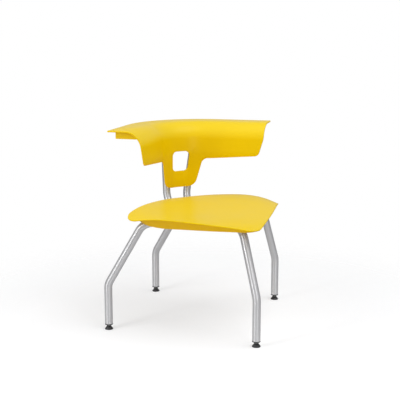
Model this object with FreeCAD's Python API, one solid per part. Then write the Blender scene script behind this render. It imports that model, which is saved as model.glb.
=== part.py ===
import FreeCAD, Part
import os
from math import cos, radians, sin, sqrt, tan

V = FreeCAD.Vector

# Classroom chair: a moulded seat and a winged back on a four-legged tube frame.
# Sizes are in millimetres and degrees. X runs across the chair, Y to its back, Z up from the floor.

# Frame tubing
tube_od = 25.4
tube_wall = 2.0
bend_radius = 50.0
tube_end_height = 18.0
knee_height = 152.0
beam_height = 356.0

# Where the four legs stand, and how far each leans in between knee and shoulder
front_foot_reach = 341.0
rear_foot_reach = 341.0
side_foot_reach = 327.0
side_foot_setback = 37.0
front_lean = 86.0
rear_lean = 198.0
side_lean = 117.0
side_heading = 32.5

# Rails under the seat, which turn up at the rear as the uprights of the back
rail_offset = 35.0
rail_nose_margin = 10.0
upright_standoff = 14.5
upright_top_drop = 66.0
upright_spread = 5.5
back_lean = 6.5

# Steel plates that join the tubes and carry the seat
plate_thickness = 3.0
plate_corner = 12.0
hub_y = -137.0
hub_width = 196.0
hub_depth = 128.0
hub_screw_x = 75.0
hub_screw_y = 48.0
leg_end_offset = 32.0
leg_end_gap = 8.0
rear_plate_y = 62.0
rear_plate_width = 172.0
rear_plate_depth = 56.0
rear_screw_x = 68.0

# Seat moulding: a diamond with bowed sides and drooping corners
seat_centre_y = -92.0
seat_lift = 18.8
seat_rise = 4.0
seat_nose = 254.0
seat_rear = 233.0
seat_tip_x = 306.0
seat_tip_y = 78.0
front_bow = 12.0
rear_bow = 5.0
nose_radius = 40.0
tip_radius = 55.0
rear_radius = 90.0
tip_droop = 42.0
tip_power = 7
end_power = 5
rim_power = 10
nose_droop = 10.0
rear_droop = 18.0
seat_dish = 8.0
dish_half_width = 220.0
dish_half_depth = 200.0
seat_wall = 4.5
rim_depth = 43.0
rim_slope = 0.11
rim_tuck = 42.0
rim_fade = 36.0
rim_wall = 4.0
seat_edge_round = 1.6
seat_boss_radius = 9.0
tube_notch_gap = 1.0

# Back moulding: a wall that sweeps round the sitter and flares into a ledge
back_face_y = 142.0
back_radius = 135.0
wing_angle = 44.0
wing_length = 168.5
wing_slant = 17.5
wing_corner = 17.0
wing_rise = 13.0
wing_end_drop = 53.0
wing_tip_reach = 4.0
back_wall = 5.0
back_rise = 292.0
back_depth = 224.5
band_depth = 124.5
bend_depth = 103.0
bend_round = 120.0
upper_tilt = 2.3
flare_radius = 58.0
ledge_reach = 117.5
lip_inset = 19.0
lip_depth = 28.0
lip_wall = 4.0
end_rib_setback = 20.0
neck_bottom_half = 56.0
neck_top_half = 75.5
neck_corner = 30.0
neck_fillet = 23.0
hole_top_depth = 98.0
hole_bottom_depth = 167.0
hole_bottom_half = 28.0
hole_top_half = 32.5
hole_corner = 15.0
back_boss_radius = 9.0
low_screw_depth = 193.0
high_screw_depth = 93.0

# Screws
screw_d = 5.0
screw_head_d = 10.5
screw_head_height = 3.6
screw_head_chamfer = 1.2
screw_clearance = 0.15
screw_skin = 2.5

# Plastic plugs in the open tube ends
plug_length = 14.0
plug_head = 3.0
plug_chamfer = 1.5
plug_clearance = 0.05

# Levelling glides: a sleeve in the tube, a ball stem that turns in it and a foot that tilts on the ball
sleeve_length = 30.0
sleeve_flange = 2.0
stem_d = 8.0
stem_length = 26.0
stem_clearance = 0.05
collar_d = 14.0
collar_height = 1.8
collar_gap = 0.3
ball_d = 10.0
ball_height = 7.6
ball_clearance = 0.05
neck_d = 6.0
foot_d = 27.0
foot_top_d = 12.6
foot_edge = 2.0
foot_top_height = 11.6
foot_mouth_d = 8.6
cap_wall = 1.2

tube_radius = tube_od / 2
bore_radius = tube_radius - tube_wall
plate_bottom = beam_height + tube_radius
plate_top = plate_bottom + plate_thickness
seat_height = plate_top + seat_lift
lean_slope = tan(radians(back_lean))
tilt_slope = tan(radians(upper_tilt))
spread_slope = tan(radians(upright_spread))
ledge_height = beam_height + back_rise
ledge_under = ledge_height - back_wall
bend_height = ledge_height - bend_depth
band_bottom = ledge_height - band_depth
neck_bottom = ledge_height - back_depth
arc_centre_y = back_face_y - back_radius
wing_top_length = wing_length + wing_slant
wing_tip = wing_top_length + wing_tip_reach
rib_end = wing_top_length - end_rib_setback
lip_outer = ledge_reach - lip_inset
lip_bottom = ledge_height - lip_depth
upright_corner_y = back_face_y + upright_standoff + lean_slope * (bend_height - beam_height)
back_screw_axis = V(0, -cos(radians(back_lean)), -sin(radians(back_lean)))


def bent_edges(points, radii):
    """Straight runs between points, joined by tangent arcs of the given radii."""
    edges = []
    start = points[0]
    for before, corner, after, radius in zip(points, points[1:], points[2:], radii):
        inward = (corner - before).normalize()
        outward = (after - corner).normalize()
        turn = inward.getAngle(outward)
        setback = radius * tan(turn / 2)
        arc_start = corner - inward * setback
        arc_end = corner + outward * setback
        bisector = (outward - inward).normalize()
        middle = corner + bisector * (radius / cos(turn / 2) - radius)
        edges.append(Part.makeLine(start, arc_start))
        edges.append(Part.Arc(arc_start, middle, arc_end).toShape())
        start = arc_end
    edges.append(Part.makeLine(start, points[-1]))
    return edges


def bent_rod(points, radius):
    """A round rod bent through the points, as a tube bender leaves it."""
    section = Part.Wire(Part.makeCircle(radius, points[0], points[1] - points[0]))
    route = Part.Wire(bent_edges(points, [bend_radius] * len(points)))
    return route.makePipeShell([section], True, False)


def bent_tube(points):
    """The frame's tube bent through the points."""
    return bent_rod(points, tube_radius).cut(bent_rod(points, bore_radius))


def prism(outline, direction):
    """The flat outline through the given points, pushed along the direction."""
    return Part.Face(Part.makePolygon(outline + outline[:1])).extrude(direction)


def edges_along(shape, direction):
    """The straight edges of a shape that run along the direction."""
    found = []
    for edge in shape.Edges:
        if isinstance(edge.Curve, Part.Line) and abs(edge.Curve.Direction.dot(direction)) > 0.999:
            found.append(edge)
    return found


def edge_at(shape, direction, point, reach=0.5):
    """The straight edges along the direction that pass through a point."""
    near = []
    for edge in edges_along(shape, direction):
        if edge.distToShape(Part.Vertex(point))[0] < reach:
            near.append(edge)
    return near


def mirrored(shape):
    """The shape's twin on the other side of the chair."""
    return shape.mirror(V(0, 0, 0), V(1, 0, 0))


def along(shape, point, axis):
    """A shape built on the Z axis, moved to a point and turned to an axis."""
    moved = shape.copy()
    moved.Placement = FreeCAD.Placement(point, FreeCAD.Rotation(V(0, 0, 1), axis))
    return moved


def turned(profile):
    """A solid of revolution about Z from radius and height pairs."""
    points = [V(radius, 0, height) for radius, height in profile]
    face = Part.Face(Part.makePolygon(points + points[:1]))
    return face.revolve(V(0, 0, 0), V(0, 0, 1), 360)


# Tube routes

def leg_route(foot, heading, lean, end):
    """A leg from its foot: upright to the knee, leaning in to the shoulder, then level to its end."""
    return [
        foot + V(0, 0, tube_end_height),
        foot + V(0, 0, knee_height),
        foot + heading * lean + V(0, 0, beam_height),
        end + V(0, 0, beam_height),
    ]


def front_leg_route():
    foot = V(0, -front_foot_reach, 0)
    return leg_route(foot, V(0, 1, 0), front_lean, V(0, hub_y + leg_end_offset, 0))


def rear_leg_route():
    foot = V(0, rear_foot_reach, 0)
    return leg_route(foot, V(0, -1, 0), rear_lean, V(0, hub_y + leg_end_offset + leg_end_gap, 0))


def right_leg_route():
    foot = V(side_foot_reach, side_foot_setback, 0)
    heading = V(-cos(radians(side_heading)), -sin(radians(side_heading)), 0)
    reach = (side_foot_reach - rail_offset) / cos(radians(side_heading))
    return leg_route(foot, heading, side_lean, foot + heading * reach)


def upright_at(height):
    """The centre of the right-hand upright at a height."""
    rise = height - beam_height
    return V(rail_offset + spread_slope * rise, upright_corner_y - lean_slope * rise, height)


def rail_route():
    """The right-hand upright from its top end down, forward under the seat to its nose."""
    return [
        upright_at(ledge_height - upright_top_drop),
        upright_at(beam_height),
        V(rail_offset, hub_y - hub_depth / 2 + rail_nose_margin, beam_height),
    ]


# Seat

def seat_outline(scale, height):
    """The seat's plan outline, made smaller towards its centre, at a height in the seat's own frame."""
    corners = [
        V(0, -seat_nose, 0),
        V(seat_tip_x, seat_tip_y, 0),
        V(0, seat_rear, 0),
        V(-seat_tip_x, seat_tip_y, 0),
    ]
    bows = [front_bow, rear_bow, rear_bow, front_bow]
    sides = []
    for index, bow in enumerate(bows):
        first = corners[index]
        last = corners[(index + 1) % 4]
        chord = last - first
        outward = V(chord.y, -chord.x, 0).normalize()
        sides.append(Part.Arc(first, (first + last) / 2 + outward * bow, last).toShape())
    block = Part.Face(Part.Wire(sides)).extrude(V(0, 0, 1))
    rounds = [nose_radius, tip_radius, rear_radius, tip_radius]
    for corner, radius in zip(corners, rounds):
        block = block.makeFillet(radius, edge_at(block, V(0, 0, 1), corner))
    base = min(block.Faces, key=lambda face: face.CenterOfMass.z)
    wire = base.OuterWire.scaled(scale, V(0, 0, 0))
    wire.translate(V(0, 0, height))
    return wire


def tip_share(x, power):
    """How far a point lies out towards the side corners of the seat: 1 at the corner."""
    return (abs(x) / seat_tip_x) ** power


def end_share(y):
    """How far a point lies out towards the nose or the rear corner: 1 at the corner."""
    return (abs(y) / (seat_rear if y > 0 else seat_nose)) ** end_power


def seat_top(x, y):
    """Height of the sitting surface above the seat's edge plane."""
    hollow = max(0.0, 1 - (x / dish_half_width) ** 2 - (y / dish_half_depth) ** 2)
    end_droop = rear_droop if y > 0 else nose_droop
    return -tip_droop * tip_share(x, tip_power) - end_droop * end_share(y) - seat_dish * hollow ** 2


def rim_bottom(x, y):
    """Height of the turned-under rim's lower edge, level in front and fading out at tips and rear."""
    rear_fade = rim_fade * (max(y, 0.0) / seat_rear) ** 2
    return -rim_depth - rim_slope * min(y, 0.0) + rim_fade * tip_share(x, rim_power) + rear_fade


def surface_over_seat(height_at, columns=15, rows=13):
    """A smooth face a little larger than the seat, at the height the formula gives."""
    half_x = seat_tip_x + tip_radius
    half_y = seat_nose + nose_radius
    grid = []
    for column in range(columns):
        x = half_x * (2 * column / (columns - 1) - 1)
        line = []
        for row in range(rows):
            y = half_y * (2 * row / (rows - 1) - 1)
            line.append(V(x, y, height_at(x, y)))
        grid.append(line)
    surface = Part.BSplineSurface()
    surface.interpolate(grid)
    return surface.toShape()


def seat_frame(shape):
    """Moves a shape from the seat's own frame to the chair."""
    shape.rotate(V(0, 0, 0), V(1, 0, 0), seat_rise)
    shape.translate(V(0, seat_centre_y, seat_height))
    return shape


def tapered_block(wall):
    """The seat outline drawn in towards its centre as it goes down, less a wall."""
    upper = seat_outline(1 - wall / seat_rear, 0)
    lower = seat_outline(1 - (rim_tuck + wall) / seat_rear, -rim_depth)
    return Part.makeLoft([upper, lower], True, True)


def seat_screw_places():
    """The six screw positions under the seat."""
    places = []
    for side in (-1, 1):
        places.append((side * hub_screw_x, hub_y - hub_screw_y))
        places.append((side * hub_screw_x, hub_y + hub_screw_y))
        places.append((side * rear_screw_x, rear_plate_y))
    return places


def seat_under_height(x, y):
    """Height on the chair of the seat's underside above a point of the floor plan."""
    local_y = y - seat_centre_y
    level = seat_height + local_y * tan(radians(seat_rise))
    return level + seat_top(x, local_y) - seat_wall


def seat_panel():
    """The sitting panel, with its edges rounded above and below."""
    panel = surface_over_seat(seat_top).extrude(V(0, 0, -seat_wall))
    block = Part.Face(seat_outline(1, -2 * rim_depth)).extrude(V(0, 0, 3 * rim_depth))
    panel = panel.common(block)
    edges = []
    for face in sorted(panel.Faces, key=lambda face: face.Area)[-2:]:
        edges += face.OuterWire.Edges
    return panel.makeFillet(seat_edge_round, edges)


def make_seat_shell():
    panel = seat_panel()
    under = surface_over_seat(lambda x, y: seat_top(x, y) - seat_wall / 2)
    below_skin = under.extrude(V(0, 0, -3 * rim_depth))
    above_rim = surface_over_seat(rim_bottom).extrude(V(0, 0, 3 * rim_depth))
    rim = tapered_block(0).cut(tapered_block(rim_wall))
    rim = rim.common(below_skin).common(above_rim)
    seat = seat_frame(panel.fuse(rim))
    room_below = seat_frame(below_skin)
    for x, y in seat_screw_places():
        boss = Part.makeCylinder(seat_boss_radius, 3 * rim_depth, V(x, y, plate_top))
        seat = seat.fuse(boss.common(room_below))
    for x, y in seat_screw_places():
        tip = seat_under_height(x, y) + seat_wall - screw_skin
        bore = Part.makeCylinder(screw_d / 2 + screw_clearance, tip - plate_top, V(x, y, plate_top))
        seat = seat.cut(bore)
    right = bent_rod(right_leg_route(), tube_radius + tube_notch_gap)
    rods = [right, mirrored(right), bent_rod(front_leg_route(), tube_radius + tube_notch_gap)]
    return seat.cut(rods).removeSplitter()


# Back

def face_offset(height):
    """How far the wall's face stands back from its bend at a height."""
    if height < bend_height:
        return (bend_height - height) * lean_slope
    return (height - bend_height) * tilt_slope


def mitre(first, last):
    """How a corner moves when the two faces that meet there each move by one."""
    return (first + last) / (1 + first.dot(last))


def wall_corners(bottom, inset):
    """The section's corners at a depth below the wall's face: its foot, its bend and the ledge's corner."""
    lower = V(0, cos(radians(back_lean)), sin(radians(back_lean)))
    upper = V(0, cos(radians(upper_tilt)), -sin(radians(upper_tilt)))
    top = V(0, 0, -1)
    foot = V(0, face_offset(bottom) + inset / lower.y, bottom)
    bend = V(0, 0, bend_height) + mitre(lower, upper) * inset
    corner = V(0, face_offset(ledge_height), ledge_height) + mitre(upper, top) * inset
    return foot, bend, corner


def back_profile(bottom):
    """The wall's section: up from the bottom, round the flare, out along the ledge, with a lip below."""
    foot, bend, corner = wall_corners(bottom, 0)
    rim = V(0, ledge_reach - back_wall / 2, ledge_height)
    edges = bent_edges([foot, bend, corner, rim], [bend_round, flare_radius])
    rim_under = V(0, rim.y, ledge_under)
    edges.append(Part.Arc(rim, V(0, ledge_reach, ledge_height - back_wall / 2), rim_under).toShape())
    lip_inner = V(0, lip_outer - lip_wall, ledge_under)
    lip = [
        rim_under, V(0, lip_outer, ledge_under), V(0, lip_outer, lip_bottom),
        V(0, lip_inner.y, lip_bottom), lip_inner,
    ]
    for first, last in zip(lip, lip[1:]):
        edges.append(Part.makeLine(first, last))
    rear_foot, rear_bend, rear_corner = wall_corners(bottom, back_wall)
    rear_radii = [flare_radius - back_wall, bend_round - back_wall]
    edges += bent_edges([lip_inner, rear_corner, rear_bend, rear_foot], rear_radii)
    edges.append(Part.makeLine(rear_foot, foot))
    return Part.Face(Part.Wire(edges))


def end_rib():
    """The web that closes the channel between wall and lip near the wing's end."""
    start = rib_end - lip_wall
    web = Part.makeBox(lip_wall, lip_outer, lip_depth - back_wall / 2, V(start, 0, lip_bottom))
    centre = wall_corners(band_bottom, flare_radius)[2]
    centre.x = start
    room = Part.makeCylinder(flare_radius - back_wall / 2, lip_wall, centre, V(1, 0, 0))
    beyond = Part.makeBox(lip_wall, lip_outer, lip_depth, V(start, centre.y, lip_bottom))
    return web.common(room.fuse(beyond))


def back_middle():
    """The part of the back that curves round the sitter, with the neck and its hand hole."""
    section = back_profile(neck_bottom)
    section.translate(V(0, back_radius, 0))
    section.rotate(V(0, 0, 0), V(0, 0, 1), wing_angle)
    sweep = section.revolve(V(0, 0, 0), V(0, 0, 1), -2 * wing_angle)
    sweep.translate(V(0, arc_centre_y, 0))
    wide = back_radius + 2 * ledge_reach
    depth = V(0, 2 * wide, 0)
    front = -wide
    outline = [
        V(-wide, front, band_bottom), V(-neck_top_half, front, band_bottom),
        V(-neck_bottom_half, front, neck_bottom), V(neck_bottom_half, front, neck_bottom),
        V(neck_top_half, front, band_bottom), V(wide, front, band_bottom),
        V(wide, front, 2 * ledge_height), V(-wide, front, 2 * ledge_height),
    ]
    keep = prism(outline, depth)
    for side in (-1, 1):
        inner = edge_at(keep, V(0, 1, 0), V(side * neck_top_half, 0, band_bottom))
        keep = keep.makeFillet(neck_fillet, inner)
        outer = edge_at(keep, V(0, 1, 0), V(side * neck_bottom_half, 0, neck_bottom))
        keep = keep.makeFillet(neck_corner, outer)
    hole_top = ledge_height - hole_top_depth
    hole_bottom = ledge_height - hole_bottom_depth
    hole = prism([
        V(-hole_bottom_half, front, hole_bottom), V(hole_bottom_half, front, hole_bottom),
        V(hole_top_half, front, hole_top), V(-hole_top_half, front, hole_top),
    ], depth)
    hole = hole.makeFillet(hole_corner, edges_along(hole, V(0, 1, 0)))
    return sweep.common(keep).cut(hole)


def back_wing():
    """The straight right-hand wing, with its slanted end, rising lower edge and end rib."""
    bar = back_profile(band_bottom).extrude(V(wing_tip, 0, 0))
    lip_end = V(rib_end, lip_outer - lip_wall, lip_bottom)
    bar = bar.cut(Part.makeBox(wing_tip - rib_end, lip_wall, ledge_under - lip_bottom, lip_end))
    front = -ledge_reach
    end_bottom = band_bottom + wing_rise
    end_top = ledge_height - wing_end_drop
    keep = prism([
        V(0, front, band_bottom), V(wing_length, front, end_bottom),
        V(wing_top_length, front, end_top), V(wing_tip, front, ledge_height),
        V(wing_tip, front, 2 * ledge_height), V(0, front, 2 * ledge_height),
    ], V(0, 3 * ledge_reach, 0))
    keep = keep.makeFillet(wing_corner, edge_at(keep, V(0, 1, 0), V(wing_length, 0, end_bottom)))
    wing = bar.common(keep).fuse(end_rib())
    wing.rotate(V(0, 0, 0), V(0, 0, 1), -wing_angle)
    angle = radians(wing_angle)
    wing.translate(V(back_radius * sin(angle), arc_centre_y + back_radius * cos(angle), 0))
    return wing


def neck_face_y(x, height):
    """Where the sitter's side of the wall lies at a place across the neck."""
    radius = back_radius + face_offset(height)
    return arc_centre_y + sqrt(radius ** 2 - x ** 2)


def back_screw_places():
    """The upright's centre at each of the four back screws."""
    places = []
    for depth in (low_screw_depth, high_screw_depth):
        centre = upright_at(ledge_height - depth)
        places.append(centre)
        places.append(V(-centre.x, centre.y, centre.z))
    return places


def back_screw_reach(centre, depth):
    """How far a back screw runs from the upright's centre to a depth below the wall's face."""
    return (neck_face_y(centre.x, centre.z) + depth - centre.y) / back_screw_axis.y


def make_back_shell():
    wing = back_wing()
    back = back_middle().fuse([wing, mirrored(wing)]).removeSplitter()
    upright = bent_rod(rail_route(), tube_radius)
    for centre in back_screw_places():
        reach = back_screw_reach(centre, back_wall / 2)
        boss = Part.makeCylinder(back_boss_radius, reach, centre, back_screw_axis)
        back = back.fuse(boss.cut([upright, mirrored(upright)]))
    for centre in back_screw_places():
        reach = back_screw_reach(centre, screw_skin)
        bore = Part.makeCylinder(screw_d / 2 + screw_clearance, reach, centre, back_screw_axis)
        back = back.cut(bore)
    return back


# Frame pieces

def make_right_leg():
    """A side leg, its end shaped to the flank of the rail."""
    return bent_tube(right_leg_route()).cut(bent_rod(rail_route(), tube_radius))


def make_right_upright():
    """Upright and rail in one bent tube, drilled through for the back screws."""
    tube = bent_tube(rail_route())
    for centre in back_screw_places():
        start = centre - back_screw_axis * tube_od
        tube = tube.cut(Part.makeCylinder(screw_d / 2 + screw_clearance, 2 * tube_od, start, back_screw_axis))
    return tube


def make_plate(centre_y, width, depth, screws):
    """A steel plate that lies on the tubes, with rounded corners and a hole for each screw."""
    corner = V(-width / 2, centre_y - depth / 2, plate_bottom)
    plate = Part.makeBox(width, depth, plate_thickness, corner)
    plate = plate.makeFillet(plate_corner, edges_along(plate, V(0, 0, 1)))
    for x, y in screws:
        bore = Part.makeCylinder(screw_d / 2 + screw_clearance, plate_thickness, V(x, y, plate_bottom))
        plate = plate.cut(bore)
    return plate


def make_screw(length):
    """A pan-head screw on the Z axis, its seat at the origin and its shank upward."""
    head = screw_head_d / 2
    crown = screw_head_chamfer
    return turned([
        (0, -screw_head_height), (head - crown, -screw_head_height), (head, crown - screw_head_height),
        (head, 0), (screw_d / 2, 0), (screw_d / 2, length), (0, length),
    ])


def make_seat_screws():
    screws = []
    for x, y in seat_screw_places():
        tip = seat_under_height(x, y) + seat_wall - screw_skin - screw_clearance
        screws.append(along(make_screw(tip - plate_bottom), V(x, y, plate_bottom), V(0, 0, 1)))
    return Part.makeCompound(screws)


def make_back_screws():
    screws = []
    for centre in back_screw_places():
        seat = centre - back_screw_axis * tube_radius
        length = tube_radius + back_screw_reach(centre, screw_skin) - screw_clearance
        screws.append(along(make_screw(length), seat, back_screw_axis))
    return Part.makeCompound(screws)


def make_tube_plug(end, inside):
    """A push-in plug with a chamfered head, on the end of a tube that runs back to a point inside."""
    body = bore_radius - plug_clearance
    plug = turned([
        (0, -plug_length), (body, -plug_length), (body, 0), (tube_radius, 0),
        (tube_radius, plug_head - plug_chamfer), (tube_radius - 2 * plug_chamfer, plug_head), (0, plug_head),
    ])
    return along(plug, end, end - inside)


# Levelling glides, each made on the Z axis with the floor at the origin

def make_glide_sleeve():
    """The plastic sleeve in the end of a leg, bored for the stem."""
    bore = stem_d / 2 + stem_clearance
    top = tube_end_height + sleeve_length
    bottom = tube_end_height - sleeve_flange
    return turned([
        (bore, bottom), (tube_radius, bottom), (tube_radius, tube_end_height),
        (bore_radius - plug_clearance, tube_end_height), (bore_radius - plug_clearance, top), (bore, top),
    ])


def make_glide_stem():
    """The steel stem with its collar, neck and ball."""
    collar_top = tube_end_height - sleeve_flange - collar_gap
    collar_bottom = collar_top - collar_height
    stem = turned([
        (0, ball_height), (neck_d / 2, ball_height), (neck_d / 2, collar_bottom),
        (collar_d / 2, collar_bottom), (collar_d / 2, collar_top),
        (stem_d / 2, collar_top), (stem_d / 2, collar_top + stem_length), (0, collar_top + stem_length),
    ])
    return stem.fuse(Part.makeSphere(ball_d / 2, V(0, 0, ball_height)))


def foot_blank(inset):
    """The cone of the foot, drawn in by a wall."""
    return turned([
        (0, 0), (foot_d / 2 - inset, 0), (foot_d / 2 - inset, foot_edge),
        (foot_top_d / 2 - inset, foot_top_height - inset), (0, foot_top_height - inset),
    ])


def ball_room():
    """The socket for the ball and the mouth that lets the neck tilt."""
    socket = Part.makeSphere(ball_d / 2 + ball_clearance, V(0, 0, ball_height))
    mouth = Part.makeCylinder(foot_mouth_d / 2, foot_top_height, V(0, 0, ball_height))
    return socket.fuse(mouth)


def make_glide_cap():
    """The cone-shaped cap that holds the ball down in the pad."""
    skirt = Part.makeCylinder(foot_d, foot_edge)
    return foot_blank(0).cut([foot_blank(cap_wall), skirt, ball_room()])


def make_glide_pad():
    """The nylon pad that stands on the floor and carries the ball."""
    core = foot_blank(cap_wall)
    ring = Part.makeCylinder(foot_d / 2, foot_edge)
    return core.fuse(ring).cut(ball_room())


def make_parts():
    """Every piece of the chair under its node's name."""
    right_leg = make_right_leg()
    right_upright = make_right_upright()
    top, corner, nose = rail_route()
    right_top_plug = make_tube_plug(top, corner)
    right_nose_plug = make_tube_plug(nose, V(nose.x, corner.y, nose.z))
    hub_screws = [place for place in seat_screw_places() if place[1] != rear_plate_y]
    rear_screws = [place for place in seat_screw_places() if place[1] == rear_plate_y]
    parts = {
        "seat_shell": make_seat_shell(),
        "back_shell": make_back_shell(),
        "front_leg": bent_tube(front_leg_route()),
        "rear_leg": bent_tube(rear_leg_route()),
        "left_leg": mirrored(right_leg),
        "right_leg": right_leg,
        "left_upright": mirrored(right_upright),
        "right_upright": right_upright,
        "hub_plate": make_plate(hub_y, hub_width, hub_depth, hub_screws),
        "rear_plate": make_plate(rear_plate_y, rear_plate_width, rear_plate_depth, rear_screws),
        "seat_screws": make_seat_screws(),
        "back_screws": make_back_screws(),
        "left_upright_plug": mirrored(right_top_plug),
        "right_upright_plug": right_top_plug,
        "left_rail_plug": mirrored(right_nose_plug),
        "right_rail_plug": right_nose_plug,
    }
    feet = {
        "front": V(0, -front_foot_reach, 0),
        "rear": V(0, rear_foot_reach, 0),
        "left": V(-side_foot_reach, side_foot_setback, 0),
        "right": V(side_foot_reach, side_foot_setback, 0),
    }
    glide = {
        "glide_sleeve": make_glide_sleeve(),
        "glide_stem": make_glide_stem(),
        "glide_cap": make_glide_cap(),
        "glide_pad": make_glide_pad(),
    }
    for place, foot in feet.items():
        for piece, shape in glide.items():
            parts[place + "_" + piece] = shape.translated(foot)
    return parts


os.makedirs("parts", exist_ok=True)
for name, shape in make_parts().items():
    shape.exportStep("parts/" + name + ".step")
    print(name, len(shape.Solids), "solid", "volume", round(shape.Volume), "valid", shape.isValid())
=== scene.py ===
from math import asin, atan, cos, pi, radians, sin, sqrt, tan

import bmesh
import bpy
from mathutils import Matrix, Vector
from mathutils.geometry import intersect_point_line


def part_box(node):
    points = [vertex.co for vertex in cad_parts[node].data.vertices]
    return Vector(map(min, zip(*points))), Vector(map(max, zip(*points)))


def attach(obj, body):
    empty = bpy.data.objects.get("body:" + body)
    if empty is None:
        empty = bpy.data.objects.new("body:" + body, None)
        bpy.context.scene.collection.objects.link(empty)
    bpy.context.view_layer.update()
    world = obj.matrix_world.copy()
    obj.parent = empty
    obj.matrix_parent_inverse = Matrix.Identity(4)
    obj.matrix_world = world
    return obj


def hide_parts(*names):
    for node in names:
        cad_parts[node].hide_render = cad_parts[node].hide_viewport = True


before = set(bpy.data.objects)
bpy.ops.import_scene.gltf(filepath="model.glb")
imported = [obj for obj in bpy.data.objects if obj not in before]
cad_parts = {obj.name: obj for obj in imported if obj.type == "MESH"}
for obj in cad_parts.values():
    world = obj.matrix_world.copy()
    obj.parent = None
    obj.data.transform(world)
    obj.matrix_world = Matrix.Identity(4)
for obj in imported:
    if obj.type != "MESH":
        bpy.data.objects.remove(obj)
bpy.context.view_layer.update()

bl_info = {
    "name": "Classroom chair",
    "version": (1, 0, 0),
    "blender": (4, 5, 0),
    "location": "View3D > Sidebar > Chair",
    "description": "Models the classroom chair's mouldings, tubes and glides on its frame",
    "category": "Object",
}

ROOT = "frame"
PLACES = ("front", "rear", "left", "right")
LEDGE_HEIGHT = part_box("back_shell")[1].z
PLATE_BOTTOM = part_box("hub_plate")[0].z
TUBE_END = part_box("front_leg")[0].z

# Fineness of the modelling
TOUCHING = 1e-6
ON_PLANE = 1e-7
SHARP_ANGLE = radians(35)
EDGE_ANGLE = radians(60)
SWEEP_SLICES = 40
BEND_SLICES = 6
FLARE_SLICES = 24
RIB_STEPS = 12
AXIS_FALLOFF = 4
STEEPEST_WELD = 0.98

# Mottling: the span of its noise, how far it moves the gloss, and the grain's depth for its width
MOTTLE_LOW = 0.3
MOTTLE_HIGH = 0.7
GLOSS_SWING = 0.04
GRAIN_DEPTH = 0.2

# Z of a face's normal where the painted sheen on faces that look up and the painted shade on faces that
# look down start and where they are full
SHEEN_START = 0.05
SHEEN_FULL = 0.55
# Painted shade: faces that look down get a deeper orange, standing in for the shade under them
SHADE_START = -0.15
SHADE_FULL = -0.5

# Z of a mirrored ray between the room's walls and its ceiling
WALL_TOP = -0.05
CEILING_START = 0.12


# Settings

def number(name, description, default, **kind):
    return bpy.props.FloatProperty(name=name, description=description, default=default, **kind)


def length(name, description, default):
    return number(name, description, default, unit="LENGTH", precision=4)


def angle(name, description, default):
    return number(name, description, radians(default), subtype="ANGLE")


def share(name, description, default):
    return number(name, description, default, subtype="FACTOR", min=0, max=1)


def lamp_power(name, description, default):
    return number(name, description, default, subtype="POWER")


def vector(name, description, default, **kind):
    return bpy.props.FloatVectorProperty(
        name=name, description=description, default=default, size=3, **kind)


def colour(name, description, default):
    return vector(name, description, default, subtype="COLOR", min=0, max=1)


def spot(name, description, default):
    return vector(name, description, default, subtype="TRANSLATION", unit="LENGTH")


class ChairTubes(bpy.types.PropertyGroup):
    """Sizes of the bent tube frame."""
    diameter: length("Tube diameter", "Outside diameter of the tube", 0.0254)
    wall: length("Tube wall", "Thickness of the tube's wall", 0.002)
    bend_radius: length("Bend radius", "Radius of a bend at the tube's centre line", 0.05)
    knee_height: length("Knee height", "Where the upright foot of a leg bends inward", 0.152)
    front_lean: length("Front lean", "How far the front leg leans in above its knee", 0.086)
    rear_lean: length("Rear lean", "How far the rear leg leans in above its knee", 0.198)
    side_lean: length("Side lean", "How far a side leg leans in above its knee", 0.117)
    side_heading: angle("Side heading", "How far the side legs turn forward as they run in", 32.5)
    rail_offset: length("Rail offset", "Distance of each rail from the middle of the chair", 0.035)
    upright_corner: length("Upright corner", "Distance back of the rail's corner with its upright", 0.17803)
    upright_drop: length("Upright drop", "How far the uprights end below the ledge", 0.066)
    upright_spread: angle("Upright spread", "How far the uprights lean apart", 5.5)
    upright_lean: angle("Upright lean", "How far the uprights lean forward", 6.5)
    bead: length("Weld bead", "Radius of the weld beads", 0.0022)


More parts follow.
